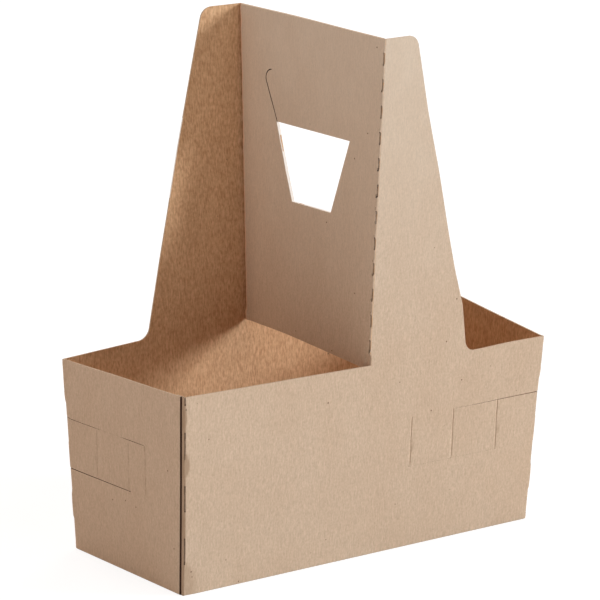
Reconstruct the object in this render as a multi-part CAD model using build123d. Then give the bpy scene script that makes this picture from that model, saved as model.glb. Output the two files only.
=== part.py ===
from build123d import *
import math
import os

os.makedirs("parts", exist_ok=True)

# A two-cup carrier, folded and glued from one die-cut sheet of kraft paperboard.
# X runs along the tray, and the front wall faces -Y. The only glued corner is at the front, at -X.
# The origin is the middle of the underside. Sizes are outside sizes in millimetres.

# The board
board = 0.7                  # thickness of the sheet
fold_radius = 1.1            # outside radius of a creased fold
fold_inside = 0.4            # inside radius of the same fold

# The tray, wider at its rim than at its base
rim_length = 203.0
rim_width = 93.5
base_length = 196.0
base_width = 83.8
tray_height = 90.0           # table to rim

# The wings and the double handle panel between them
carrier_height = 240.0       # table to the top of the handle
wing_top_reach = 18.8        # handle plane to the wing's outer edge, at the top
wing_knee_reach = 51.3       # the same, where the edge turns steeper
wing_knee_rise = 22.0        # rim to that place
wing_root_reach = 55.3       # handle plane to the edge again, at the rim
wing_corner_radius = 6.0
wing_knee_radius = 60.0
wing_root_radius = 6.0
panel_foot_front = 88.0      # table to the panel's lower edge, at the front wall
panel_foot_back = 90.0       # the same, at the back wing
panel_edge_gap = 0.6         # from a handle layer's free edge to the wing that it doesn't hang on

# The hand hole, through both handle layers
hole_drop = 50.0             # carrier's top to the hole's top edge
hole_height = 35.0
hole_top_width = 55.4
hole_bottom_width = 28.6
hole_shift = 3.0             # towards the front wall, from the middle
slit_rise = 17.2             # height of the hooked slit's straight run above the hole
slit_spread = 8.0            # how far that run leans away from the hole
slit_hook_radius = 4.2
slit_hook_turn = 115.0       # degrees
slit_width = 0.5

# The dashed cut along each fold of the handle and of the corners
handle_dash_length = 6.0
handle_dash_pitch = 12.0
handle_dash_start = 9.2      # fold's lower end to its first dash's middle
corner_dash_length = 12.0
corner_dash_pitch = 24.0
corner_dash_start = 9.0      # the same on a tray corner
seam_dash_start = 20.5       # the same on the seam's fold
dash_width = 0.5
dash_depth = 0.4

# The divider straps, cut and scored round two opposite corners
strap_bottom = 38.5          # table to the strap's lower cut
strap_height = 23.8
long_creases = (24.2, 50.1, 74.3)      # corner to each crease on a long wall, halfway up the strap
end_creases = (23.3, 47.8, 60.6)       # the same on an end wall
cut_width = 0.3
crease_width = 0.7
crease_depth = 0.2

# The glued seam at the front, at -X
seam_setback = 3.2           # front fold to the raw edge of the end wall
seam_gap_width = 1.0         # groove that stays open along the raw edge
seam_gap_depth = 0.4         # into the tab
tab_width = 16.0
tab_taper = 9.0              # by how much the tab's tip is shorter, at each end

# The bottom: two long flaps that hook under each other, with an end flap glued over each end
flap_hook = 9.0              # how far a long flap reaches past the middle line, underneath
flap_lap = 12.0              # overlap of the long flaps, from the seam below to the edge above
flap_slant = 14.0            # length of tray in which an edge crosses the middle line
flap_end_gap = 3.0           # end of the seam to the end wall
flap_edge_width = 0.5        # width of the line that a raw edge leaves
flap_edge_depth = 0.5
end_flap_depth = 33.0
end_flap_inset = 2.5         # end flap's root to the long walls
end_flap_tip = 20.0          # width of an end flap's tip

cut_overrun = 5.0            # how far a cutting tool runs past the board

floor_thickness = 2 * board


def half_length(height):
    """Half the tray's outside length at a height."""
    return (base_length + (rim_length - base_length) * height / tray_height) / 2


def half_width(height):
    """Half the tray's outside width at a height. The wings lean on in the same planes."""
    return (base_width + (rim_width - base_width) * height / tray_height) / 2


def leaning_prism(plane, low, high, near, far):
    """A long prism between two leaning faces, given as places at a height, and two level ones."""
    corners = ((near(low), low), (far(low), low), (far(high), high), (near(high), high))
    return extrude(plane * Polygon(*corners, align=None), rim_length, both=True)


def flared_block(low, high, inset):
    """A block between two heights that follows the flared walls, inset from their outside."""
    along = leaning_prism(
        Plane.XZ, low, high, lambda z: inset - half_length(z), lambda z: half_length(z) - inset
    )
    across = leaning_prism(
        Plane.YZ, low, high, lambda z: inset - half_width(z), lambda z: half_width(z) - inset
    )
    return along & across


def corner_block(from_end, from_front, low, high):
    """A block by the front corner at +X, measured inwards from the end wall's and front wall's outside."""
    along = leaning_prism(
        Plane.XZ, low, high, lambda z: half_length(z) - from_end[0], lambda z: half_length(z) - from_end[1]
    )
    across = leaning_prism(
        Plane.YZ, low, high, lambda z: from_front[0] - half_width(z), lambda z: from_front[1] - half_width(z)
    )
    return along & across


def half_turn(shape):
    """The same shape on the far side: a half turn about Z maps the carrier's outline on itself."""
    return Rot(0, 0, 180) * shape


def at_seam(shape):
    """The same shape at the glued front corner, at -X."""
    return mirror(shape, about=Plane.YZ)


def upright_edges(shape):
    """The edges that climb at least as high as the tray."""
    return shape.edges().filter_by(lambda edge: abs((edge @ 0).Z - (edge @ 1).Z) >= tray_height)


def wall_outline():
    """The front wall and its wing in X and Z, wide enough to keep the end walls below the rim too."""
    far = rim_length
    knee_height = tray_height + wing_knee_rise
    tray = Polygon(
        (-far, -cut_overrun), (far, -cut_overrun), (far, tray_height), (-far, tray_height), align=None
    )
    wing = Polygon(
        (-board, 0),
        (wing_root_reach, 0),
        (wing_root_reach, tray_height),
        (wing_knee_reach, knee_height),
        (wing_top_reach, carrier_height),
        (-board, carrier_height),
        align=None,
    )
    outline = tray + wing
    roundings = (
        (wing_top_reach, carrier_height, wing_corner_radius),
        (wing_knee_reach, knee_height, wing_knee_radius),
        (wing_root_reach, tray_height, wing_root_radius),
    )
    for reach, height, radius in roundings:
        corner = outline.vertices().sort_by_distance((reach, height))[0]
        outline = fillet(corner, radius)
    return outline


def walls():
    """The four flared walls and the floor's two layers, trimmed to the rim and to the two wings."""
    outer = flared_block(0, carrier_height, 0)
    outer = fillet(upright_edges(outer), fold_radius)
    outer = fillet(outer.faces().sort_by(Axis.Z)[0].edges(), fold_radius - fold_inside)
    inner = flared_block(floor_thickness, carrier_height + cut_overrun, board)
    inner = fillet(upright_edges(inner), fold_inside)
    front = extrude(Plane.XZ * wall_outline(), rim_width)
    return (outer - inner) & (front + half_turn(front))


def handle_outline(front_setback, back_setback):
    """A handle layer in Y and Z, set back from the outside of the wings."""
    outline = Polygon(
        (front_setback - half_width(panel_foot_front), panel_foot_front),
        (half_width(panel_foot_back) - back_setback, panel_foot_back),
        (half_width(carrier_height) - back_setback, carrier_height),
        (front_setback - half_width(carrier_height), carrier_height),
        align=None,
    )
    return Plane.YZ * outline


def handle_layers():
    """The two glued layers. Each hangs on one wing's fold and stops just short of the other wing."""
    free_edge = board + panel_edge_gap
    front_layer = extrude(handle_outline(0, free_edge), -board)
    back_layer = extrude(handle_outline(free_edge, 0), board)
    return front_layer + back_layer


def glue_tab():
    """The tab that the front wall carries inside the end wall, behind the seam."""
    layer = at_seam(corner_block((board, 2 * board), (0, tab_width), board, tray_height))

    def place(height, depth):
        return depth - half_width(height)

    outline = Polygon(
        (-rim_width, 0),
        (place(0, 2 * seam_setback), 0),
        (place(tab_taper, tab_width), tab_taper),
        (place(tray_height - tab_taper, tab_width), tray_height - tab_taper),
        (place(tray_height, 2 * seam_setback), tray_height),
        (-rim_width, tray_height),
        align=None,
    )
    return layer & extrude(Plane.YZ * outline, -rim_length)


def seam_relief():
    """The step at the glued corner, where the end wall's raw edge stops short of the front fold."""
    outside = -cut_overrun
    high = tray_height + cut_overrun
    step = corner_block((outside, board), (outside, seam_setback), outside, high)
    groove_side = (seam_setback - seam_gap_width, seam_setback)
    groove = corner_block((0, board + seam_gap_depth), groove_side, outside, high)
    return at_seam(step + groove)


def fold_rounding(low, high, fold_x):
    """What a fold at the front loses to its outside radius. Its corner points to -X and -Y."""
    start, end = (Vector(fold_x(z), -half_width(z), z) for z in (low, high))
    square = Rectangle(fold_radius, fold_radius, align=(Align.MIN, Align.MIN))
    waste = square - Pos(fold_radius, fold_radius) * Circle(fold_radius)
    along = end - start
    return extrude(Pos(start) * waste, along.length, dir=along.normalized())


def handle_fold(height):
    """Where the front wing folds into its handle layer: the outside corner's place in X."""
    return -board


def seam_fold(height):
    """Where the front wall folds into its glue tab: the outside corner's place in X."""
    return board - half_length(height)


def fold_dashes(low, high, fold_x, outward_x, dash_start, dash_length, dash_pitch):
    """The dashed cut along a fold of the front wall that leans with it."""
    start, end = (Vector(fold_x(z), -half_width(z), z) for z in (low, high))
    along = (end - start).normalized()
    outward = Vector(outward_x, -1, 0).normalized()
    rounded_off = (math.sqrt(2) - 1) * fold_radius
    span = (end - start).length
    count = int((span - dash_start + dash_length / 2) / dash_pitch)
    dashes = Part()
    for index in range(count + 1):
        middle = start + along * (dash_start + index * dash_pitch) - outward * rounded_off
        frame = Plane(origin=middle, x_dir=outward, z_dir=along)
        dashes += frame * Box(2 * dash_depth, dash_width, dash_length)
    return dashes


def handle_dashes(foot):
    """The dashed cut along the front wing's fold, from the foot of its handle layer up."""
    dash = handle_dash_start, handle_dash_length, handle_dash_pitch
    return fold_dashes(foot, carrier_height, handle_fold, -1, *dash)


def corner_dashes(fold_x, outward_x, dash_start):
    """The dashed cut along a tray corner's fold."""
    dash = dash_start, corner_dash_length, corner_dash_pitch
    return fold_dashes(0, tray_height, fold_x, outward_x, *dash)


def hole_corners():
    """The hand hole's corners in Y and Z: lower back, lower front, upper front, upper back."""
    top = carrier_height - hole_drop
    bottom = top - hole_height
    return (
        (hole_bottom_width / 2 - hole_shift, bottom),
        (-hole_bottom_width / 2 - hole_shift, bottom),
        (-hole_top_width / 2 - hole_shift, top),
        (hole_top_width / 2 - hole_shift, top),
    )


def hand_hole():
    """The tapered hole through both handle layers."""
    opening = Polygon(*hole_corners(), align=None)
    return extrude(Plane.YZ * opening, board + cut_overrun, both=True)


def hooked_slit():
    """The slit in the front handle layer: up from the hole's upper back corner, then hooked back."""
    start = Vector(*hole_corners()[3]) - Vector(slit_width, 0)
    rise = Vector(slit_spread, slit_rise)
    run = Line(start - rise.normalized() * slit_width, start + rise)
    hook = JernArc(run @ 1, run % 1, slit_hook_radius, slit_hook_turn)
    line = trace(run + hook, slit_width)
    return extrude(Plane.YZ * line, -(board + cut_overrun))


def opposite_slit():
    """The back layer's own slit, which starts at the hole's upper front corner."""
    return Pos(0, -2 * hole_shift, 0) * half_turn(hooked_slit())


def strap_cuts():
    """The two cuts and six creases of the divider strap that wraps the front corner at +X."""
    outside = -cut_overrun
    strap_top = strap_bottom + strap_height
    middle = (strap_bottom + strap_top) / 2

    def cut(height, along_front, along_end):
        low, high = height - cut_width / 2, height + cut_width / 2
        return corner_block((outside, along_front), (outside, along_end), low, high)

    def upright_slab(plane, place):
        low, high = place - crease_width / 2, place + crease_width / 2
        return leaning_prism(plane, strap_bottom, strap_top, lambda z: low, lambda z: high)

    shape = cut(strap_top, long_creases[1], end_creases[2])
    shape += cut(strap_bottom, long_creases[2], end_creases[1])
    front_skin = corner_block((outside, rim_length), (outside, crease_depth), strap_bottom, strap_top)
    end_skin = corner_block((outside, crease_depth), (outside, rim_width), strap_bottom, strap_top)
    for distance in long_creases:
        shape += front_skin & upright_slab(Plane.XZ, half_length(middle) - distance)
    for distance in end_creases:
        shape += end_skin & upright_slab(Plane.YZ, distance - half_width(middle))
    return shape


def flap_edge(reach, end_gap):
    """The line that a long flap's raw edge leaves, as a thin face about the origin."""
    far = base_length / 2 - end_gap
    path = Polyline(
        (-far, reach), (-flap_slant / 2, reach), (flap_slant / 2, -reach), (far, -reach)
    )
    return trace(path, flap_edge_width)


def floor_edges():
    """The long flaps' raw edges: the hooked seam underneath, and the edges that lie on top inside."""
    below = extrude(Pos(0, 0, flap_edge_depth) * flap_edge(flap_hook, flap_end_gap), -floor_thickness)
    inside = flap_edge(flap_hook - flap_lap, end_flap_depth + flap_end_gap)
    above = extrude(Pos(0, 0, floor_thickness - flap_edge_depth) * inside, floor_thickness)
    return below + above


def floor_creases():
    """The creases underneath, from each corner towards the seam, where a long flap's corner folds back."""
    reach = base_width / 2 - flap_hook - flap_end_gap
    shape = Part()
    for side in (-1, 1):
        for end in (-1, 1):
            start = Vector(end * (base_length / 2 - fold_radius), side * (base_width / 2 - fold_radius))
            stop = start - Vector(end * reach, side * reach)
            line = trace(Line(start, stop), crease_width)
            shape += extrude(line, crease_depth)
    return shape


def end_flap():
    """The end flap at +X, glued on top of the long flaps."""
    root = half_length(floor_thickness) - board / 2
    root_half = half_width(floor_thickness) - board - end_flap_inset
    tip = base_length / 2 - end_flap_depth
    outline = Polygon(
        (root, -root_half),
        (root, root_half),
        (tip, end_flap_tip / 2),
        (tip, -end_flap_tip / 2),
        align=None,
    )
    return extrude(Pos(0, 0, floor_thickness) * outline, board)


def carrier():
    """The whole folded sheet."""
    flap = end_flap()
    shape = walls() + glue_tab() + handle_layers() + flap + half_turn(flap)
    shape -= fold_rounding(tray_height, carrier_height, handle_fold)
    shape -= half_turn(fold_rounding(panel_foot_back, carrier_height, handle_fold))
    shape -= handle_dashes(tray_height)
    shape -= half_turn(handle_dashes(panel_foot_back))
    right_dashes = corner_dashes(half_length, 1, corner_dash_start)
    for waste in (right_dashes, strap_cuts()):
        shape -= waste
        shape -= half_turn(waste)
    shape -= half_turn(at_seam(right_dashes))
    shape -= seam_relief()
    shape -= fold_rounding(-cut_overrun, tray_height + cut_overrun, seam_fold)
    shape -= corner_dashes(seam_fold, -1, seam_dash_start)
    for waste in (hand_hole(), hooked_slit(), opposite_slit(), floor_edges(), floor_creases()):
        shape -= waste
    return shape


folded_carrier = carrier()
export_step(folded_carrier, "parts/folded_carrier.step")
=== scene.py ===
import math
from collections import namedtuple

import bmesh
import bpy
import numpy as np
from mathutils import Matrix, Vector, noise
from mathutils.bvhtree import BVHTree


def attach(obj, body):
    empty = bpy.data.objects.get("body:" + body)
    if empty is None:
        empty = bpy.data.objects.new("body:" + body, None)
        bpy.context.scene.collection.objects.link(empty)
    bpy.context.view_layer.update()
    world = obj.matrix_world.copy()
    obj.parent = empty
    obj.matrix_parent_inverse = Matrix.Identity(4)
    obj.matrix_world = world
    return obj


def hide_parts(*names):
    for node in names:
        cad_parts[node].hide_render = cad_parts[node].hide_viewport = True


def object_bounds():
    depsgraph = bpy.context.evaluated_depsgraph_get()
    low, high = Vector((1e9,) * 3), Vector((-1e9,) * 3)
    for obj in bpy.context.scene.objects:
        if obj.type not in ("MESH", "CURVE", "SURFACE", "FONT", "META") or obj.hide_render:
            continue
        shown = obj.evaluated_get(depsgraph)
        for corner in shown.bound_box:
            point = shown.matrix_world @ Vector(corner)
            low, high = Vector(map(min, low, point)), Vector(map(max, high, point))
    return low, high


# Looks of a two-cup carrier folded from one sheet of kraft paperboard.
# X runs along the tray, the front wall faces -Y and Z is up. Lengths are in metres.

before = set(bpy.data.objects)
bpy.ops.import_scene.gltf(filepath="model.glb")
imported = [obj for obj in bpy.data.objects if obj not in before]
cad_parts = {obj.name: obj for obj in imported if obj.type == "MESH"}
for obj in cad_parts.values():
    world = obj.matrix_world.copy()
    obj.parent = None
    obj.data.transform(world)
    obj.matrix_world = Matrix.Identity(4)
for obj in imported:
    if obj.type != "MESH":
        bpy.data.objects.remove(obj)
cad_low, cad_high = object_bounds()

MM = 0.001
NODE = "folded_carrier"
BODY = "root"

# Driving sizes of the folded sheet
BOARD = 0.7 * MM
FOLD_RADIUS = 1.1 * MM
TRAY_HEIGHT = 90 * MM
RIM_LENGTH = 203 * MM
BASE_LENGTH = 196 * MM
RIM_WIDTH = 93.5 * MM
BASE_WIDTH = 83.8 * MM
CARRIER_HEIGHT = cad_high.z - cad_low.z

# How far a long wall and an end wall lean out for each metre of height
LONG_SLOPE = (RIM_WIDTH - BASE_WIDTH) / 2 / TRAY_HEIGHT
END_SLOPE = (RIM_LENGTH - BASE_LENGTH) / 2 / TRAY_HEIGHT

# Small distances that tell which surface a point or a face lies on
MERGE = 0.001 * MM
TOUCH = 0.02 * MM
SLACK = 0.05 * MM
TRAY_TOP = TRAY_HEIGHT + MM
PANEL_FOOT = TRAY_HEIGHT - 2 * MM

# What the front has comes back at the back, turned by half a turn about Z
SIDES = (1, -1)

# The camera, seen from the left of the front wall and a little above
IMAGE_SIDE = 600
CAMERA_AZIMUTH = -37.53
CAMERA_ELEVATION = 14.198
CAMERA_ROLL = math.radians(0.741)
CAMERA_TARGET = Vector((-4.13 * MM, 0, 111.66 * MM))
CAMERA_DISTANCE = 1.7116
CAMERA_NEAREST = 0.05
CAMERA_FARTHEST = 50
FOCAL_PIXELS = 3773
SENSOR_WIDTH = 36


def half_length(height):
    """Half the tray's outside length at a height."""
    share = height / TRAY_HEIGHT
    return (BASE_LENGTH + (RIM_LENGTH - BASE_LENGTH) * share) / 2


def half_width(height):
    """Half the tray's outside width at a height. The wings lean on in the same planes."""
    share = height / TRAY_HEIGHT
    return (BASE_WIDTH + (RIM_WIDTH - BASE_WIDTH) * share) / 2


def direction(azimuth, elevation):
    """The way towards an azimuth, 0 at the front and growing to the right, and an elevation, in degrees."""
    turn, lift = math.radians(azimuth), math.radians(elevation)
    return Vector((math.sin(turn) * math.cos(lift), -math.cos(turn) * math.cos(lift), math.sin(lift)))


# The sheet's mesh

GRID = 3.6 * MM
GRID_START = 0.37 * MM

# Each fold of the front: its place in X at the base, its slope in X and its lowest and highest ends
Fold = namedtuple("Fold", "start slope low high")
FOLDS = {
    "handle": Fold(-BOARD, 0, PANEL_FOOT, CARRIER_HEIGHT),
    "seam": Fold(BOARD - BASE_LENGTH / 2, -END_SLOPE, 0, TRAY_HEIGHT),
    "corner": Fold(BASE_LENGTH / 2, END_SLOPE, 0, TRAY_HEIGHT),
}

# How far a fold's own changes reach along the wall and into it
FOLD_ZONE = 3 * MM

# The finer cuts beside each fold and their steps in height
FINE_OFFSETS = np.array((-1.8, -0.9, -0.35, 0.35, 0.8, 1.4, 2.1, 2.9)) * MM
FINE_STEP = 1.05 * MM
FINE_REACH = 4 * MM


def cut_all(form, point, normal):
    """Cuts the whole mesh by a plane."""
    everything = form.verts[:] + form.edges[:] + form.faces[:]
    bmesh.ops.bisect_plane(form, geom=everything, dist=MERGE, plane_co=point, plane_no=normal)


def cut_some(form, faces, point, normal):
    """Cuts some faces by a plane and returns them with their new halves."""
    geometry = set(faces)
    for face in faces:
        geometry.update(face.edges)
        geometry.update(face.verts)
    cut = bmesh.ops.bisect_plane(form, geom=list(geometry), dist=MERGE, plane_co=point, plane_no=normal)
    return [item for item in cut["geom"] if isinstance(item, bmesh.types.BMFace)]


def fold_planes(fold, side, offset):
    """The planes at an offset from a fold, on the front wall and behind it, each a point and a normal."""
    beside = (Vector(((fold.start + offset) * side, 0, 0)), Vector((1, 0, -fold.slope * side)))
    behind = (Vector((0, (offset - half_width(0)) * side, 0)), Vector((0, 1, LONG_SLOPE * side)))
    return beside, behind


def refine_fold(form, fold, side):
    """Finer cuts beside one fold and across it."""
    faces = []
    for face in form.faces:
        place = face.calc_center_median()
        beside = place.x * side - fold.start - fold.slope * place.z
        behind = place.y * side + half_width(place.z)
        if max(abs(beside), abs(behind)) < FINE_REACH and place.z > fold.low - MM:
            faces.append(face)
    for offset in FINE_OFFSETS:
        beside, behind = fold_planes(fold, side, offset)
        faces = cut_some(form, faces, *beside)
        if offset > 0:
            faces = cut_some(form, faces, *behind)
    for height in np.arange(fold.low + FINE_STEP, fold.high, FINE_STEP):
        upper = cut_some(form, faces, Vector((0, 0, height)), Vector((0, 0, 1)))
        faces = [face for face in upper if face.calc_center_median().z > height]


def refine_folds(form):
    """Finer cuts along each fold and along its half turn at the back, while the mesh is still coarse."""
    strips = [(fold, side) for fold in FOLDS.values() for side in SIDES]
    for fold, side in strips:
        for offset in (-FINE_REACH, FINE_REACH):
            for point, normal in fold_planes(fold, side, offset):
                cut_all(form, point, normal)
    for fold, side in strips:
        refine_fold(form, fold, side)


def gridded_copy(node):
    """The node's closed mesh, cut by level and upright planes so that it can bend."""
    form = bmesh.new()
    form.from_mesh(node.data)
    bmesh.ops.remove_doubles(form, verts=form.verts, dist=MERGE)
    refine_folds(form)
    for axis in range(3):
        normal = Vector((0, 0, 0))
        normal[axis] = 1
        for place in np.arange(cad_low[axis] + GRID_START, cad_high[axis], GRID):
            point = Vector((0, 0, 0))
            point[axis] = place
            cut_all(form, point, normal)
    mesh = bpy.data.meshes.new("carrier_sheet")
    form.to_mesh(mesh)
    form.free()
    return mesh


def read_rows(items, name):
    """A property of the mesh's points or faces, such as their places, as rows of X, Y and Z."""
    flat = np.zeros(len(items) * 3)
    items.foreach_get(name, flat)
    return flat.reshape(-1, 3)


# How the real sheet departs from its drawing

# The rise of the rim's corners, by side and front or back, and how far it goes on up the wings, then how far
# the top leans in and the end walls swell out
RIM_RISE = {(-1, -1): 2.0 * MM, (1, -1): -1.1 * MM, (1, 1): 9.3 * MM, (-1, 1): -1.2 * MM}
RIM_FADE = 60 * MM
TOP_LEAN = 1.2 * MM
END_SWELL = 0.8 * MM


def warp_rim(points):
    """Raises or lowers each corner of the rim. The change fades out at the base and up in the wings."""
    x, y, z = points.T.copy()
    across = np.clip(x / (RIM_LENGTH / 2), -1, 1)
    deep = np.clip(y / (RIM_WIDTH / 2), -1, 1)
    grown = np.clip(z / TRAY_HEIGHT, 0, 1)
    fade = np.clip(1 - (z - TRAY_HEIGHT) / RIM_FADE, 0, 1)
    change = np.zeros(len(points))
    for (side, front), rise in RIM_RISE.items():
        change += rise * (1 + side * across) / 2 * (1 + front * deep) / 2
    points[:, 2] += change * grown * fade
    points[:, 0] += across * END_SWELL * fade
    above = np.clip((z - TRAY_HEIGHT) / (CARRIER_HEIGHT - TRAY_HEIGHT), 0, 1)
    points[:, 1] -= np.sign(y) * np.abs(deep) * TOP_LEAN * above


# Local pulls: the place, the pull and how far it reaches, all in millimetres
PULLS = (
    ((58, -46.75, 90), (0, 0, -0.9), 18),
    ((0, 46.75, 92), (0, 0, -1.2), 22),
    ((0, -54.8, 240), (0, 0, -0.6), 40),
    ((0, 24.7, 190), (0, -0.7, 0), 16),
)


def pull_places(points, rest):
    """Pulls small areas of the sheet, each with a soft edge. The base stays on the table."""
    hold = np.clip(rest[:, 2] / (TRAY_HEIGHT / 3), 0, 1)
    for place, pull, reach in PULLS:
        away = np.linalg.norm(rest - np.array(place) * MM, axis=1) / (reach * MM)
        points += np.outer(np.exp(-away * away) * hold, np.array(pull) * MM)


# Narrowing or widening of the wings at their free edges, from the rim to the top, and where these edges are
WING_HEIGHTS = np.array((90, 112, 128, 152, 178, 205, 240)) * MM
WING_EDGES = np.array((55.3, 51.3, 47.2, 41.1, 34.5, 27.7, 18.8)) * MM
FRONT_WING_CHANGE = np.array((0, 0.5, -0.6, -0.9, -1.0, -1.7, -1.3)) * MM
BACK_WING_CHANGE = np.array((0, -0.5, 0.3, 1.2, 2.1, 2.4, 2.5)) * MM


def change_wings(points, rest):
    """Narrows the front wing and widens the back one towards their free edges."""
    x, y, z = rest.T
    edge = np.interp(z, WING_HEIGHTS, WING_EDGES)
    above = z > TRAY_HEIGHT
    share = np.clip(np.abs(x) / edge, 0, 1)
    front = np.interp(z, WING_HEIGHTS, FRONT_WING_CHANGE) * share
    back = np.interp(z, WING_HEIGHTS, BACK_WING_CHANGE) * share
    points[:, 0] += np.where(above & (y < 0) & (x > 0), front, 0)
    points[:, 0] -= np.where(above & (y > 0) & (x < 0), back, 0)


def fold_places(rest, name, side):
    """Each point's distance from a fold, along the wall and into it, and a mask of the points by the fold."""
    fold = FOLDS[name]
    x, y, z = rest.T
    along = x * side - fold.start - fold.slope * z
    across = y * side + half_width(z)
    near = (z > fold.low - MM) & (z < fold.high + MM) & (np.abs(across) < FOLD_ZONE)
    return along, across, near


def bulge(heights, low, high, power):
    """A round swelling between two heights in millimetres, 1 at its middle and 0 at its ends."""
    middle, half = (low + high) / 2 * MM, (high - low) / 2 * MM
    return np.clip(1 - ((heights - middle) / half) ** 2, 0, 1) ** power


# How far each fold's rounding is closed, and the share of its radius from which a point counts as on it
SHARPEN = 0.7
ROUNDING_SHARE = 0.9


def sharpen_folds(points, rest):
    """Closes the drawing's rounding of each fold to the tight crease that board folds to."""
    for name in FOLDS:
        turn = -1 if name == "corner" else 1
        for side in SIDES:
            if name == "seam" and side < 0:
                continue
            along, across, near = fold_places(rest, name, side)
            along = along * turn
            inner = near & (along > -MERGE) & (across > -MERGE)
            inner &= (along < FOLD_RADIUS) & (across < FOLD_RADIUS)
            inner &= np.hypot(FOLD_RADIUS - along, FOLD_RADIUS - across) > ROUNDING_SHARE * FOLD_RADIUS
            left = inner & (along < across)
            right = inner & (along >= across)
            points[left, 0] -= side * turn * along[left] * SHARPEN
            points[right, 1] -= side * across[right] * SHARPEN


# Where the uncut board between the dashes gives way beside the seam: lowest and highest place and reach
SEAM_DIPS = ((76, 85.5, 1.3), (54, 65, 2.7), (28, 38, 0.7), (-14, 15.5, 6.0))
DIP_SLOPE = 0.30
DIP_DEPTH = 1.6 * MM
DIP_ROUND = 0.5
STEEP_REACH = 2.4

# The board is painted darker in a dip up to its edge, less so in a wide one, and the turned strip gets painted
# shade, as it lies recessed behind the end wall's edge
DIP_DARK_EDGE = 0.5 * MM
DIP_DARK_REACH = 3
STRIP_START = 0.4 * MM
STRIP_SKIN = 0.2 * MM
STRIP_WIDTH = 2.4 * MM
STRIP_PAINTED_SHADE = 0.8


def dip_seam(points, rest):
    """Shallow dips in the front wall beside the seam. Gives each point's share of painted darkening there,
    with painted shade on the turned strip.
    """
    along, across, near = fold_places(rest, "seam", 1)
    seam_darkening = np.zeros(len(rest))
    for low, high, reach in SEAM_DIPS:
        lens = reach * MM * bulge(rest[:, 2], low, high, DIP_ROUND)
        slope = DIP_SLOPE * min(1, STEEP_REACH / reach)
        left = np.clip(lens - np.clip(along, 0, None), 0, None)
        dip = slope * left * np.clip(1 - across / DIP_DEPTH, 0, 1)
        by = near & (along > -MM)
        points[:, 1] += np.where(by, dip, 0)
        share = np.clip(left / DIP_DARK_EDGE, 0, 1) * min(1, DIP_DARK_REACH / reach)
        seam_darkening = np.maximum(seam_darkening, np.where(by, share, 0))
    turned = near & (along < STRIP_START) & (across > STRIP_SKIN) & (across < STRIP_WIDTH)
    return np.maximum(seam_darkening, np.where(turned, STRIP_PAINTED_SHADE, 0))


# The open seam by its distance behind the front wall: the strip's lip, the end wall's raw edge and where
# that wall is held, then the floor of the gap below the end wall's face, and how far the edge comes forward
SEAM_LIP = 2.2 * MM
SEAM_RAW = 3.2 * MM
SEAM_HELD = 4.6 * MM
SEAM_FLOOR = 1.1 * MM
SEAM_CLOSING = 0.5 * MM


def close_seam(points, rest):
    """Brings the end wall's raw edge nearer to the glued flap's strip."""
    x, y, z = rest.T
    depth = x + half_length(z)
    across = y + half_width(z)
    share = np.interp(across, (SEAM_LIP, SEAM_RAW, SEAM_HELD), (0, 1, 0))
    by = (depth < SEAM_FLOOR + TOUCH) & (x < 0) & (y < 0) & (z < TRAY_TOP)
    points[:, 1] -= np.where(by, SEAM_CLOSING * share, 0)


def in_seam(centres):
    """The faces within the open seam, between the flap's strip and the end wall's raw edge."""
    x, y, z = centres.T
    depth = x + half_length(z)
    across = y + half_width(z)
    open_part = (across > SEAM_LIP - TOUCH) & (across < SEAM_RAW + TOUCH)
    return open_part & (depth > TOUCH) & (depth < SEAM_FLOOR + TOUCH) & (z < TRAY_TOP)


# Swellings of the uncut board on the far corner's fold: lowest and highest place and size in millimetres
CORNER_SWELLS = ((70, 93, 0.8), (15, 27.5, 0.5), (39, 51, 0.15))
SWELL_ROUND = 0.35
SWELL_REACH = 2.6 * MM


def swell_corner(points, rest):
    """The outline's small steps on the corner folds."""
    for side in SIDES:
        along, across, near = fold_places(rest, "corner", side)
        for low, high, size in CORNER_SWELLS:
            swell = size * MM * bulge(rest[:, 2], low, high, SWELL_ROUND)
            swell *= np.clip(1 + along / SWELL_REACH, 0, 1) * np.clip(1 - across / SWELL_REACH, 0, 1)
            points[:, 0] += np.where(near & (along > -FOLD_ZONE), side * swell, 0)


# The dashes of the handle's fold, in millimetres above the rim
NICK_START = 9.2
NICK_PITCH = 12
NICK_HALF = 3
NICK_COUNT = 12

# The torn points at their ends: height, depth and reach, and how the depth varies from one to the next
NICK_HEIGHT = 0.55 * MM
NICK_OUT = 0.85 * MM
NICK_REACH = 1.3 * MM
NICK_LEAST = 0.6
NICK_VARIES = 0.4
NICK_TURN = 2.3

# The foot of the fold, where the board bulges aside below the last dash
FOOT_SWELL = 1.0 * MM
FOOT_TOP = 95.5 * MM


def nick_ends():
    """The heights of both ends of each dash, from the lowest up."""
    middles = [TRAY_HEIGHT + (NICK_START + NICK_PITCH * count) * MM for count in range(NICK_COUNT)]
    return [middle + end * NICK_HALF * MM for middle in middles for end in (-1, 1)]


def nick_handle(points, rest):
    """Torn points at the ends of the dashes along the handle's folds, and the loose stretch at their foot."""
    z = rest[:, 2]
    bump = np.zeros(len(rest))
    for index, end in enumerate(nick_ends()):
        size = NICK_OUT * (NICK_LEAST + NICK_VARIES * math.sin(index * NICK_TURN))
        bump += size * np.exp(-((z - end) / NICK_HEIGHT) ** 2)
    for side in SIDES:
        along, across, near = fold_places(rest, "handle", side)
        close = np.clip(1 - np.hypot(along, across) / NICK_REACH, 0, 1)
        points[:, 0] -= np.where(near, side * bump * close, 0)
        foot = np.clip((FOOT_TOP - z) / MM, 0, 1) * np.clip(1 - np.abs(along) / FOLD_ZONE, 0, 1)
        points[:, 0] += np.where(near & (z < FOOT_TOP), side * FOOT_SWELL * foot, 0)


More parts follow.
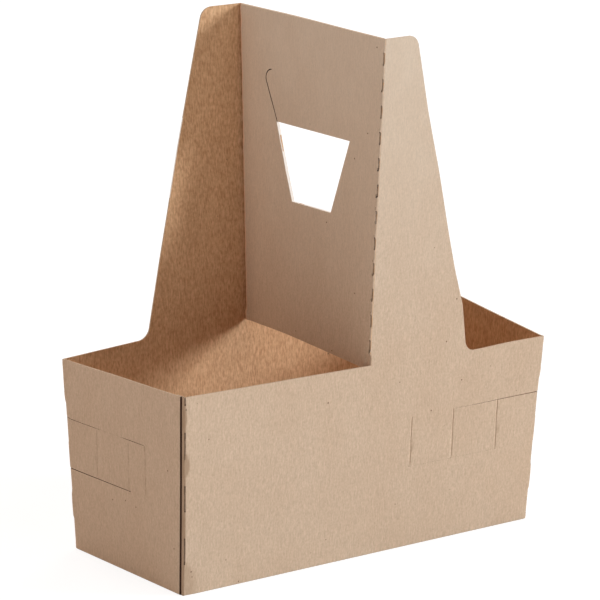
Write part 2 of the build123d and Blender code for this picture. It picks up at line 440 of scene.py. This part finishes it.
# The handle layers' free edges: where the drawing ends them, how far they are set back, how much that varies
# and over what length, and how far into the layer it fades
FREE_EDGE = 1.3 * MM
FREE_EDGE_SHIFT = 0.55 * MM
FREE_EDGE_WAVE = 0.35 * MM
FREE_EDGE_GRAIN = 5 * MM
FREE_EDGE_FADE = 4 * MM
LAYER_DEPTH = 0.8 * MM

# The torn liner along them: where it starts, how wide it is and how much that varies
TORN_START = 0.1 * MM
TORN_REACH = 0.9 * MM
TORN_WAVE = 0.8

# Where the uneven edges' noise is read: its place along X for each side, and along Y
EDGE_NOISE_X = 7.0
EDGE_NOISE_Y = 3.0


def loosen_free_edges(points, rest):
    """Sets each handle layer's free edge back unevenly. Gives each point's share of the torn liner on it."""
    torn = np.zeros(len(rest))
    x, y, z = rest.T
    for side in SIDES:
        from_wing = half_width(z) - y * side
        layer = (x * side < TOUCH) & (x * side > -LAYER_DEPTH) & (z > PANEL_FOOT)
        layer &= (from_wing > FREE_EDGE - SLACK) & (from_wing < FREE_EDGE + FREE_EDGE_FADE)
        heights = z[layer] / FREE_EDGE_GRAIN
        places = [Vector((side * EDGE_NOISE_X, EDGE_NOISE_Y, height)) for height in heights]
        waves = np.array([noise.noise(place) for place in places])
        fade = 1 - (from_wing[layer] - FREE_EDGE) / FREE_EDGE_FADE
        points[layer, 1] -= side * (FREE_EDGE_SHIFT + FREE_EDGE_WAVE * waves) * fade
        reach = TORN_REACH * (1 + TORN_WAVE * waves)
        torn[layer] = np.clip(1 - (from_wing[layer] - FREE_EDGE - TORN_START) / reach, 0, 1)
    return torn


# The divider straps' cuts and creases on the front wall and the end wall, from the drawing
STRAP_LOW = 38.5 * MM
STRAP_HIGH = 62.3 * MM
STRAP_MIDDLE = (STRAP_LOW + STRAP_HIGH) / 2
CUT_HALF = 0.15 * MM
CREASE_HALF = 0.35 * MM
CREASE_DEPTH = 0.2 * MM
FRONT_CREASES = np.array((24.2, 50.1, 74.3)) * MM
END_CREASES = np.array((23.3, 47.8, 60.6)) * MM

# The pressed valley of a crease: the share of its floor's width that stays, its rim and how far that spreads
CREASE_FLOOR = 0.12
CREASE_RIM = 0.62 * MM
CREASE_REACH = 1.2 * MM
CREASE_PROUD = 0.1 * MM


def crease_offsets(rest, side):
    """For each crease of one side: its axis, each point's offset from it and depth below the wall's face."""
    x, y, z = rest[:, 0] * side, rest[:, 1] * side, rest[:, 2]
    level = (z > STRAP_LOW - CUT_HALF) & (z < STRAP_HIGH + CUT_HALF)
    found = []
    for place in half_length(STRAP_MIDDLE) - FRONT_CREASES:
        found.append((0, np.where(level, x - place, 1), y + half_width(z)))
    for place in END_CREASES - half_width(STRAP_MIDDLE):
        found.append((1, np.where(level, y - place, 1), half_length(z) - x))
    return found


def press_creases(points, rest, side):
    """Narrows each crease's floor and spreads its rim, so that it becomes a pressed valley."""
    for axis, offset, depth in crease_offsets(rest, side):
        away = np.abs(offset)
        by = (away < CREASE_REACH) & (depth < CREASE_DEPTH + SLACK) & (depth > -CREASE_PROUD)
        floor = by & (depth > CREASE_DEPTH / 2) & (away < CREASE_HALF + TOUCH)
        rim = by & (depth <= CREASE_DEPTH / 2)
        points[floor, axis] -= side * offset[floor] * (1 - CREASE_FLOOR)
        spread_out = np.interp(away, (0, CREASE_HALF, CREASE_REACH), (0, CREASE_RIM, CREASE_REACH))
        moved = side * np.sign(offset) * (spread_out - away)
        points[rim, axis] += moved[rim]


# How far the straps' cuts stand open, as shares of the drawn width, by distance from the corner
UPPER_FRONT_OPEN = (np.array((0, 18, 45)) * MM, (1.1, 0.8, 0.2))
UPPER_END_OPEN = (np.array((0, 25, 28, 44, 47, 62)) * MM, (0.8, 0.5, 0.1, 0.1, 0.9, 0.6))
LOWER_FRONT_OPEN = (np.array((0, 50)) * MM, (0.1, 0.1))
LOWER_END_OPEN = (np.array((0, 50)) * MM, (1.3, 0.8))
STRAP_CUTS = (
    (STRAP_HIGH, UPPER_FRONT_OPEN, UPPER_END_OPEN),
    (STRAP_LOW, LOWER_FRONT_OPEN, LOWER_END_OPEN),
)
WALL_DEPTH = 1.5 * BOARD
CORNER_GAP = 0.5 * MM

# The board springs up a little at the upper cut, most at the corner
CUT_LIFT = 0.7 * MM
CUT_LIFT_HEIGHT = 5 * MM
CUT_LIFT_REACH = 45 * MM


def close_cuts(points, rest, side):
    """Closes the straps' level cuts except where the board springs open, and lifts it at the upper one."""
    x, y, z = rest[:, 0] * side, rest[:, 1] * side, rest[:, 2]
    front_depth = y + half_width(z)
    end_depth = half_length(z) - x
    on_front = (np.abs(front_depth) < WALL_DEPTH) & (end_depth > CORNER_GAP)
    on_end = (np.abs(end_depth) < WALL_DEPTH) & (front_depth > CORNER_GAP)
    from_corner = np.where(on_front, end_depth, front_depth)
    for height, front_open, end_open in STRAP_CUTS:
        offset = z - height
        by = (np.abs(offset) < CUT_HALF + TOUCH) & (on_front | on_end)
        share = np.where(on_front, np.interp(from_corner, *front_open), np.interp(from_corner, *end_open))
        points[by, 2] += offset[by] * (share[by] - 1)
    lift = CUT_LIFT * np.exp(-((z - STRAP_HIGH) / CUT_LIFT_HEIGHT) ** 2)
    lift *= np.clip(1 - end_depth / CUT_LIFT_REACH, 0, 1)
    near_front = (front_depth < FOLD_ZONE) & (x > 0)
    points[:, 2] += np.where(near_front, lift * np.clip(1 - front_depth / FOLD_ZONE, 0, 1), 0)


def shape_straps(points, rest):
    """The creases and cuts of both divider straps."""
    for side in SIDES:
        press_creases(points, rest, side)
        close_cuts(points, rest, side)


# The waves' length and depth, and the seed of their noise
WAVE_SIZE = 45 * MM
WAVE_DEPTH = 0.22 * MM
WAVE_SEED = 7


def add_waves(points):
    """Slow waves of a sheet that has been folded by hand. They die out at the table."""
    noise.seed_set(WAVE_SEED)
    for row in points:
        place = Vector(row) / WAVE_SIZE
        hold = min(row[2] / TRAY_HEIGHT, 1)
        row += np.array(noise.noise_vector(place)) * WAVE_DEPTH * hold


# Painted shade in narrow cuts

# The rays from each face, where they start above it and how far away board still shades it
RAY_COUNT = 20
RAY_START = 0.01 * MM
RAY_REACH = 3 * MM

# The share of rays that board close by stops, where a face starts to get painted shade and where that shade is
# darkest
CREVICE_LOW = 0.36
CREVICE_HIGH = 0.6

# How much painted shade the handle's dashed cuts get, by height: they stand open halfway up
SLOT_HEIGHTS = np.array((90, 130, 158, 168, 194, 204, 225, 240)) * MM
SLOT_SHADES = (0.35, 0.5, 0.6, 1.0, 1.0, 0.65, 0.35, 0.2)


def ray_spread():
    """Directions about +Z, more of them near the middle."""
    turn = math.pi * (3 - math.sqrt(5))
    rays = []
    for index in range(RAY_COUNT):
        flat = math.sqrt((index + 0.5) / RAY_COUNT)
        level = (flat * math.cos(turn * index), flat * math.sin(turn * index))
        rays.append(Vector((*level, math.sqrt(1 - flat * flat))))
    return rays


def crevices(mesh, wanted):
    """For each wanted face, how much of its outlook is shut in by board close by, from 0 to 1, which sets the
    shade painted on it.
    """
    tree = BVHTree.FromPolygons([v.co for v in mesh.vertices], [p.vertices[:] for p in mesh.polygons])
    rays = ray_spread()
    shares = np.zeros(len(mesh.polygons))
    for index in np.nonzero(wanted)[0]:
        face = mesh.polygons[index]
        turn = face.normal.to_track_quat("Z", "Y")
        start = face.center + face.normal * RAY_START
        hits = sum(tree.ray_cast(start, turn @ ray, RAY_REACH)[0] is not None for ray in rays)
        shares[index] = np.clip((hits / RAY_COUNT - CREVICE_LOW) / (CREVICE_HIGH - CREVICE_LOW), 0, 1)
    return shares


def slot_shades(centres):
    """For each face, how much painted shade a cut may get there: all of it, but less in parts of the handle's
    dashes.
    """
    x, y, z = centres.T
    by_handle = (half_width(z) - np.abs(y) < FOLD_ZONE) & (z > TRAY_TOP) & (np.abs(x) < FOLD_ZONE)
    return np.where(by_handle, np.interp(z, SLOT_HEIGHTS, SLOT_SHADES), 1)


# Which side of the board each face shows

# How closely a face has to look straight out, on a flat wall and on a fold's rounding
FACE_MATCH = 0.97
ARC_MATCH = 0.8
ARC_REACH = 1.2 * FOLD_RADIUS

# How many boards lie on each other, with some slack, in a wall, in the floor and in half the handle panel
WALL_BOARDS = 2.6
FLOOR_BOARDS = 3.6
PANEL_BOARDS = 1.2

# How deep a face lies that may be within a cut, and how wide a crease is when it is pressed
SUNKEN = 0.12 * MM
PRESSED_HALF = 0.6 * MM


def wall_matches(x, y, normals):
    """How nearly each face looks straight out of a long wall and of an end wall, 1 out and -1 in."""
    level = np.zeros(len(x))
    matches = []
    for slope, out_x, out_y in ((LONG_SLOPE, level, np.sign(y)), (END_SLOPE, np.sign(x), level)):
        lean = math.atan(slope)
        down = np.full(len(x), -math.sin(lean))
        out = np.stack([out_x * math.cos(lean), out_y * math.cos(lean), down], 1)
        matches.append((normals * out).sum(1))
    return matches


def arc_sides(centres, normals):
    """For each face on a fold's rounding: 1 on the sheet's outside and -1 on its inside, else 0."""
    x, y, z = centres.T
    found = np.zeros(len(centres))
    tray = half_length(z) - np.abs(x) - np.where((x < 0) & (y < 0), BOARD, 0)
    handle = np.where(y < 0, x, -x) + BOARD
    behind = half_width(z) - np.abs(y) - FOLD_RADIUS
    for beside, turn_x, by in (
        (tray - FOLD_RADIUS, -np.sign(x), z < TRAY_TOP),
        (handle - FOLD_RADIUS, -np.sign(y), z > PANEL_FOOT),
    ):
        radius = np.maximum(np.hypot(beside, behind), MERGE)
        match = (normals[:, 0] * beside * turn_x - normals[:, 1] * behind * np.sign(y)) / radius
        by = by & (beside < 0) & (behind < 0) & (radius < ARC_REACH) & (np.abs(match) > ARC_MATCH)
        found = np.where(by, np.sign(match), found)
    return found


def face_sides(centres, normals):
    """For each face: 1 on the sheet's outside, -1 inside and 0 on a raw edge, and if it may lie in a cut."""
    x, y, z = centres.T
    long_depth = half_width(z) - np.abs(y)
    end_depth = half_length(z) - np.abs(x)
    long_match, end_match = wall_matches(x, y, normals)
    near_long = long_depth < WALL_BOARDS * BOARD
    near_end = (end_depth < WALL_BOARDS * BOARD) & (z < TRAY_TOP)
    near_floor = z < FLOOR_BOARDS * BOARD
    near_panel = (np.abs(x) < PANEL_BOARDS * BOARD) & (z > PANEL_FOOT - MM)
    between_layers = near_panel & (np.abs(x) < SLACK)
    sides = np.zeros(len(centres))
    for near, match in ((near_long, long_match), (near_end, end_match), (near_floor, -normals[:, 2])):
        sides = np.where(near & (match > FACE_MATCH), 1, sides)
        sides = np.where(near & (match < -FACE_MATCH), -1, sides)
    sides = np.where(near_panel & (np.abs(normals[:, 0]) > FACE_MATCH), 1, sides)
    sides = np.where(between_layers, -1, sides)
    hidden = near_long & (long_match > FACE_MATCH) & (long_depth > SUNKEN)
    hidden |= near_end & (end_match > FACE_MATCH) & (end_depth > SUNKEN)
    hidden |= near_floor & (normals[:, 2] < -FACE_MATCH) & (z > SUNKEN)
    hidden |= sides == 0
    hidden |= between_layers & (long_depth >= FREE_EDGE + FOLD_ZONE)
    sides = np.where(sides == 0, arc_sides(centres, normals), sides)
    for side in SIDES:
        for axis, offset, depth in crease_offsets(centres, side):
            pressed = (np.abs(offset) < PRESSED_HALF) & (np.abs(depth) < CREASE_DEPTH + SLACK)
            sides = np.where(pressed, 1, sides)
            hidden &= ~pressed
    return sides, hidden


# The whole sheet

SMOOTH_ANGLE = math.radians(20)


def keep_for_points(mesh, name, values):
    """Gives each point of the mesh a value that the finish reads by name."""
    mesh.attributes.new(name, "FLOAT", "POINT").data.foreach_set("value", values)


def keep_for_faces(mesh, name, values):
    """Gives each face of the mesh a value that the finish reads by name, with no blend to the next face."""
    corners = np.zeros(len(mesh.polygons), int)
    mesh.polygons.foreach_get("loop_total", corners)
    spread_out = np.repeat(values.astype(float), corners)
    mesh.attributes.new(name, "FLOAT", "CORNER").data.foreach_set("value", spread_out)


def folded_sheet():
    """The visible carrier: the drawing's solid, bent as the real one is, with what its finish has to know."""
    mesh = gridded_copy(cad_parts[NODE])
    rest = read_rows(mesh.vertices, "co")
    centres = read_rows(mesh.polygons, "center")
    sides, hidden = face_sides(centres, read_rows(mesh.polygons, "normal"))
    points = rest.copy()
    sharpen_folds(points, rest)
    shape_straps(points, rest)
    seam_darkening = dip_seam(points, rest)
    close_seam(points, rest)
    swell_corner(points, rest)
    nick_handle(points, rest)
    torn = loosen_free_edges(points, rest)
    warp_rim(points)
    pull_places(points, rest)
    change_wings(points, rest)
    add_waves(points)
    mesh.attributes.new("rest", "FLOAT_VECTOR", "POINT").data.foreach_set("vector", rest.ravel())
    keep_for_points(mesh, "seam_darkening", seam_darkening)
    keep_for_points(mesh, "torn", torn)
    keep_for_faces(mesh, "inside", sides < 0)
    keep_for_faces(mesh, "raw_edge", sides == 0)
    mesh.vertices.foreach_set("co", points.ravel())
    mesh.update()
    # Painted shade in the cuts by how closely board shuts them in, and full painted shade in the open seam
    cut_shade = crevices(mesh, hidden) * slot_shades(centres)
    keep_for_faces(mesh, "crevice_shade", np.where(in_seam(centres), 1, cut_shade))
    mesh.polygons.foreach_set("use_smooth", np.ones(len(mesh.polygons), bool))
    mesh.set_sharp_from_angle(angle=SMOOTH_ANGLE)
    mesh.update()
    return mesh


# The finish

def add(tree, kind, **values):
    """A shader node with some of its settings or input values."""
    node = tree.nodes.new(kind)
    for name, value in values.items():
        if hasattr(node, name):
            setattr(node, name, value)
        else:
            node.inputs[name].default_value = value
    return node


def feed(tree, value, socket):
    """Links an output to an input, or sets the input to a plain value."""
    if isinstance(value, bpy.types.NodeSocket):
        tree.links.new(value, socket)
    else:
        socket.default_value = value


def attribute(tree, name):
    """A value that the mesh keeps under a name."""
    return add(tree, "ShaderNodeAttribute", attribute_name=name).outputs["Fac"]


def math_node(tree, operation, *values):
    """A sum, product or the like of outputs and numbers."""
    node = add(tree, "ShaderNodeMath", operation=operation)
    for value, socket in zip(values, node.inputs):
        feed(tree, value, socket)
    return node.outputs[0]


def blend_values(tree, first, second, share):
    """Two values mixed by a fixed share of the second."""
    first_part = math_node(tree, "MULTIPLY", first, 1 - share)
    return math_node(tree, "ADD", first_part, math_node(tree, "MULTIPLY", second, share))


def blend_colours(tree, share, first, second):
    """Two colours mixed by a share of the second. Each colour is an output or three numbers."""
    node = add(tree, "ShaderNodeMix", data_type="RGBA")
    feed(tree, share, node.inputs["Factor"])
    for colour, socket in ((first, node.inputs[6]), (second, node.inputs[7])):
        feed(tree, (*colour, 1) if isinstance(colour, tuple) else colour, socket)
    return node.outputs[2]


def spread(tree, value, span, ends=(0.0, 1.0)):
    """A value mapped from a span to two end values, and held at them."""
    node = tree.nodes.new("ShaderNodeMapRange")
    feed(tree, value, node.inputs["Value"])
    for name, number in zip(("From Min", "From Max", "To Min", "To Max"), (*span, *ends)):
        node.inputs[name].default_value = number
    return node.outputs["Result"]


# The board's grains: how many there are to the metre along X, Y and Z, and their detail
GRAINS = {
    "cloud": ((60, 60, 40), 3.0),
    "mottle": ((1300, 1300, 900), 4.0),
    "blotch": ((900, 900, 600), 4.0),
    "streak": ((2400, 2400, 260), 2.0),
    "fine": ((2600, 2600, 1500), 2.0),
}
GRAIN_ROUGHNESS = 0.55

# The parts of each grain that colour and gloss are spread over
OUTSIDE_SPAN = (0.35, 0.65)
INSIDE_SPAN = (0.36, 0.62)
CLOUD_SPAN = (0.35, 0.65)
FINE_SPAN = (0.3, 0.7)

OUTSIDE_TONE = (0.66, 0.498, 0.365)
OUTSIDE_DARK = (0.50, 0.37, 0.26)
OUTSIDE_STREAKS = 0.5
# Painted sheen: the outside turns paler and greyer towards the top
TOP_SHEEN_TONE = (0.74, 0.66, 0.55)
TOP_SHEEN_SHARE = 0.40
INSIDE_TONE = (0.76, 0.49, 0.285)
INSIDE_DARK = (0.48, 0.26, 0.13)
INSIDE_STREAKS = 0.55
CLOUD_TONE = (0.42, 0.25, 0.14)
CLOUD_SHARE = 0.10
# Painted darkening in the dips beside the seam and painted shade on its recessed strip
SEAM_DARK_TONE = (0.36, 0.235, 0.145)
SEAM_DARK_SHARE = 0.6
SPECK_TONE = (0.16, 0.085, 0.045)
SPECK_GRAINS = 100
SPECK_SPAN = (0.02, 0.05)
TORN_TONE = (0.86, 0.55, 0.36)
TORN_SHARE = 0.75
# Painted shade, near black, for cuts and the open seam
CREVICE_SHADE_TONE = (0.055, 0.022, 0.014)
CREVICE_SHADE_SHARE = 0.95

# Raw edges at the heights of the hand hole get a painted highlight, near white
EDGE_TONE = (0.55, 0.42, 0.30)
HOLE_EDGE_HIGHLIGHT = (0.93, 0.88, 0.81)
HOLE_MIDDLE = 172.5 * MM
HOLE_REACH = 18 * MM

ROUGHNESS_ENDS = (0.82, 0.96)
SPECULAR = 0.25
RELIEF_FINE = 0.4
BUMP_STRENGTH = 0.35
BUMP_DEPTH = 0.12 * MM


def grain_noise(tree, rest, grains, detail):
    """Noise that lies fixed in the sheet."""
    scaled = add(tree, "ShaderNodeVectorMath", operation="MULTIPLY")
    feed(tree, rest, scaled.inputs[0])
    feed(tree, grains, scaled.inputs[1])
    node = add(tree, "ShaderNodeTexNoise", Scale=1.0, Detail=detail, Roughness=GRAIN_ROUGHNESS)
    feed(tree, scaled.outputs[0], node.inputs["Vector"])
    return node.outputs["Fac"]


def specks(tree, rest):
    """Small dark flecks, few and far between."""
    cells = add(tree, "ShaderNodeTexVoronoi", Scale=SPECK_GRAINS)
    feed(tree, rest, cells.inputs["Vector"])
    return spread(tree, cells.outputs["Distance"], SPECK_SPAN, (1.0, 0.0))


def board_colour(tree, height, grain):
    """The paler outside, with a painted sheen that grows towards the top, and the redder inside, both mottled,
    with darker clouds.
    """
    outside_mix = blend_values(tree, grain["mottle"], grain["streak"], OUTSIDE_STREAKS)
    outside = blend_colours(tree, spread(tree, outside_mix, OUTSIDE_SPAN), OUTSIDE_DARK, OUTSIDE_TONE)
    # Painted sheen towards the top
    top_sheen = spread(tree, height, (TRAY_HEIGHT, CARRIER_HEIGHT), (0.0, TOP_SHEEN_SHARE))
    outside = blend_colours(tree, top_sheen, outside, TOP_SHEEN_TONE)
    inside_mix = blend_values(tree, grain["blotch"], grain["streak"], INSIDE_STREAKS)
    inside = blend_colours(tree, spread(tree, inside_mix, INSIDE_SPAN), INSIDE_DARK, INSIDE_TONE)
    colour = blend_colours(tree, attribute(tree, "inside"), outside, inside)
    cloud = spread(tree, grain["cloud"], CLOUD_SPAN, (0.0, CLOUD_SHARE))
    return blend_colours(tree, cloud, colour, CLOUD_TONE)


def wear_and_shade(tree, colour, name, strength, tone):
    """A colour with a tone laid over it where the mesh says so, for torn edges, painted darkening and painted
    shade.
    """
    share = math_node(tree, "MULTIPLY", attribute(tree, name), strength)
    return blend_colours(tree, share, colour, tone)


def kraft():
    """Uncoated kraft board: mottled, with upright fibres, torn places and raw edges, a painted sheen towards
    the top, painted darkening and shade by the seam, painted shade in the cuts and a painted highlight on
    edges by the hand hole.
    """
    material = bpy.data.materials.new("kraft_board")
    material.use_nodes = True
    tree = material.node_tree
    shader = tree.nodes["Principled BSDF"]
    rest = add(tree, "ShaderNodeAttribute", attribute_name="rest").outputs["Vector"]
    place = tree.nodes.new("ShaderNodeSeparateXYZ")
    feed(tree, rest, place.inputs[0])
    height = place.outputs["Z"]
    grain = {name: grain_noise(tree, rest, *values) for name, values in GRAINS.items()}
    colour = board_colour(tree, height, grain)
    # Painted darkening in the seam's dips and painted shade on its strip
    colour = wear_and_shade(tree, colour, "seam_darkening", SEAM_DARK_SHARE, SEAM_DARK_TONE)
    colour = blend_colours(tree, specks(tree, rest), colour, SPECK_TONE)
    colour = wear_and_shade(tree, colour, "torn", TORN_SHARE, TORN_TONE)
    # Painted highlight, near white, on raw edges at the hand hole's heights
    by_hole = math_node(tree, "COMPARE", height, HOLE_MIDDLE, HOLE_REACH)
    edge = blend_colours(tree, by_hole, EDGE_TONE, HOLE_EDGE_HIGHLIGHT)
    colour = blend_colours(tree, attribute(tree, "raw_edge"), colour, edge)
    # Painted shade in the cuts and the open seam
    colour = wear_and_shade(tree, colour, "crevice_shade", CREVICE_SHADE_SHARE, CREVICE_SHADE_TONE)
    feed(tree, colour, shader.inputs["Base Color"])
    feed(tree, spread(tree, grain["fine"], FINE_SPAN, ROUGHNESS_ENDS), shader.inputs["Roughness"])
    feed(tree, SPECULAR, shader.inputs["Specular IOR Level"])
    bump = add(tree, "ShaderNodeBump", Strength=BUMP_STRENGTH, Distance=BUMP_DEPTH)
    feed(tree, blend_values(tree, grain["mottle"], grain["fine"], RELIEF_FINE), bump.inputs["Height"])
    feed(tree, bump.outputs["Normal"], shader.inputs["Normal"])
    return material


# The studio

def stand_camera():
    """The camera, at the photograph's viewing angle."""
    back = direction(CAMERA_AZIMUTH, CAMERA_ELEVATION)
    right = (-back).cross(Vector((0, 0, 1))).normalized()
    down = (-back).cross(right)
    turned_right = right * math.cos(CAMERA_ROLL) - down * math.sin(CAMERA_ROLL)
    turned_down = right * math.sin(CAMERA_ROLL) + down * math.cos(CAMERA_ROLL)
    camera = bpy.data.objects.new("camera", bpy.data.cameras.new("camera"))
    bpy.context.scene.collection.objects.link(camera)
    place = CAMERA_TARGET + back * CAMERA_DISTANCE
    for index, column in enumerate((turned_right, -turned_down, back, place)):
        for row in range(3):
            camera.matrix_world[row][index] = column[row]
    camera.data.sensor_width = SENSOR_WIDTH
    camera.data.lens = FOCAL_PIXELS * SENSOR_WIDTH / IMAGE_SIDE
    camera.data.clip_start = CAMERA_NEAREST
    camera.data.clip_end = CAMERA_FARTHEST
    bpy.context.scene.camera = camera


def background_rays(tree):
    """1 for the rays by which the background is seen, straight on or in gloss or glass, and 0 for light."""
    path = tree.nodes.new("ShaderNodeLightPath")
    seen = math_node(tree, "MAXIMUM", path.outputs["Is Camera Ray"], path.outputs["Is Glossy Ray"])
    return math_node(tree, "MAXIMUM", seen, path.outputs["Is Transmission Ray"])


FLOOR_REACH = 12.0
FLOOR_TONE = (0.92, 0.92, 0.92)

# What the camera sees of the floor: a share of its own tone, which carries the shadow, and an even white
FLOOR_SHARE = 0.3
FLOOR_LIFT = 0.84


def floor_white():
    """White paper that lights the carrier as it is, and is seen as a white background with a faint shadow."""
    material = bpy.data.materials.new("floor_white")
    material.use_nodes = True
    tree = material.node_tree
    tree.nodes.remove(tree.nodes["Principled BSDF"])
    seen = background_rays(tree)
    faint = tuple(tone * FLOOR_SHARE for tone in FLOOR_TONE)
    paper = tree.nodes.new("ShaderNodeBsdfDiffuse")
    feed(tree, blend_colours(tree, seen, FLOOR_TONE, faint), paper.inputs["Color"])
    glow = tree.nodes.new("ShaderNodeEmission")
    feed(tree, math_node(tree, "MULTIPLY", seen, FLOOR_LIFT), glow.inputs["Strength"])
    total = tree.nodes.new("ShaderNodeAddShader")
    feed(tree, paper.outputs[0], total.inputs[0])
    feed(tree, glow.outputs[0], total.inputs[1])
    feed(tree, total.outputs[0], tree.nodes["Material Output"].inputs["Surface"])
    return material


def lay_floor():
    """A white floor that keeps the carrier's shadow."""
    mesh = bpy.data.meshes.new("floor")
    corners = [(x * FLOOR_REACH, y * FLOOR_REACH, 0) for x, y in ((-1, -1), (1, -1), (1, 1), (-1, 1))]
    mesh.from_pydata(corners, [], [(0, 1, 2, 3)])
    mesh.materials.append(floor_white())
    floor = bpy.data.objects.new("floor", mesh)
    bpy.context.scene.collection.objects.link(floor)


WORLD_LIGHT = 0.02
WORLD_TONE = (1.0, 0.97, 0.94)


def light_world():
    """An even pale light from all sides, which the camera sees as plain white."""
    world = bpy.data.worlds.new("studio")
    bpy.context.scene.world = world
    world.use_nodes = True
    tree = world.node_tree
    tree.nodes.clear()
    soft = add(tree, "ShaderNodeBackground", Color=(*WORLD_TONE, 1), Strength=WORLD_LIGHT)
    white = add(tree, "ShaderNodeBackground", Color=(1, 1, 1, 1), Strength=1.0)
    mix = tree.nodes.new("ShaderNodeMixShader")
    for source, socket in zip((background_rays(tree), soft.outputs[0], white.outputs[0]), mix.inputs):
        feed(tree, source, socket)
    output = tree.nodes.new("ShaderNodeOutputWorld")
    feed(tree, mix.outputs[0], output.inputs["Surface"])


# Each lamp: azimuth and elevation in degrees, strength, softness in degrees and colour
LAMPS = {
    "key": (51, 19, 2.45, 19, (0.95, 1.01, 1.06)),
    "front": (12, 45, 0.64, 30, (1.0, 0.98, 0.95)),
    "right_back": (125, 35, 1.05, 30, (1.0, 0.86, 0.78)),
    "left": (-88, 33, 0.90, 40, (1.0, 0.83, 0.74)),
    "back": (180, 40, 1.1, 40, (1.0, 0.88, 0.80)),
}


def hang_lamps():
    """Far lamps, each an even light from one side."""
    for name, (azimuth, elevation, strength, softness, colour) in LAMPS.items():
        lamp = bpy.data.lights.new(name, "SUN")
        lamp.energy = strength
        lamp.angle = math.radians(softness)
        lamp.color = colour
        holder = bpy.data.objects.new(name, lamp)
        bpy.context.scene.collection.objects.link(holder)
        holder.location = direction(azimuth, elevation)
        holder.rotation_mode = "QUATERNION"
        holder.rotation_quaternion = (-holder.location).to_track_quat("-Z", "Y")


def build():
    """The whole scene."""
    carrier = bpy.data.objects.new("carrier_sheet", folded_sheet())
    bpy.context.scene.collection.objects.link(carrier)
    carrier.data.materials.clear()
    carrier.data.materials.append(kraft())
    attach(carrier, BODY)
    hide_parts(NODE)
    stand_camera()
    lay_floor()
    light_world()
    hang_lamps()
    bpy.context.scene.view_settings.view_transform = "Standard"


build()
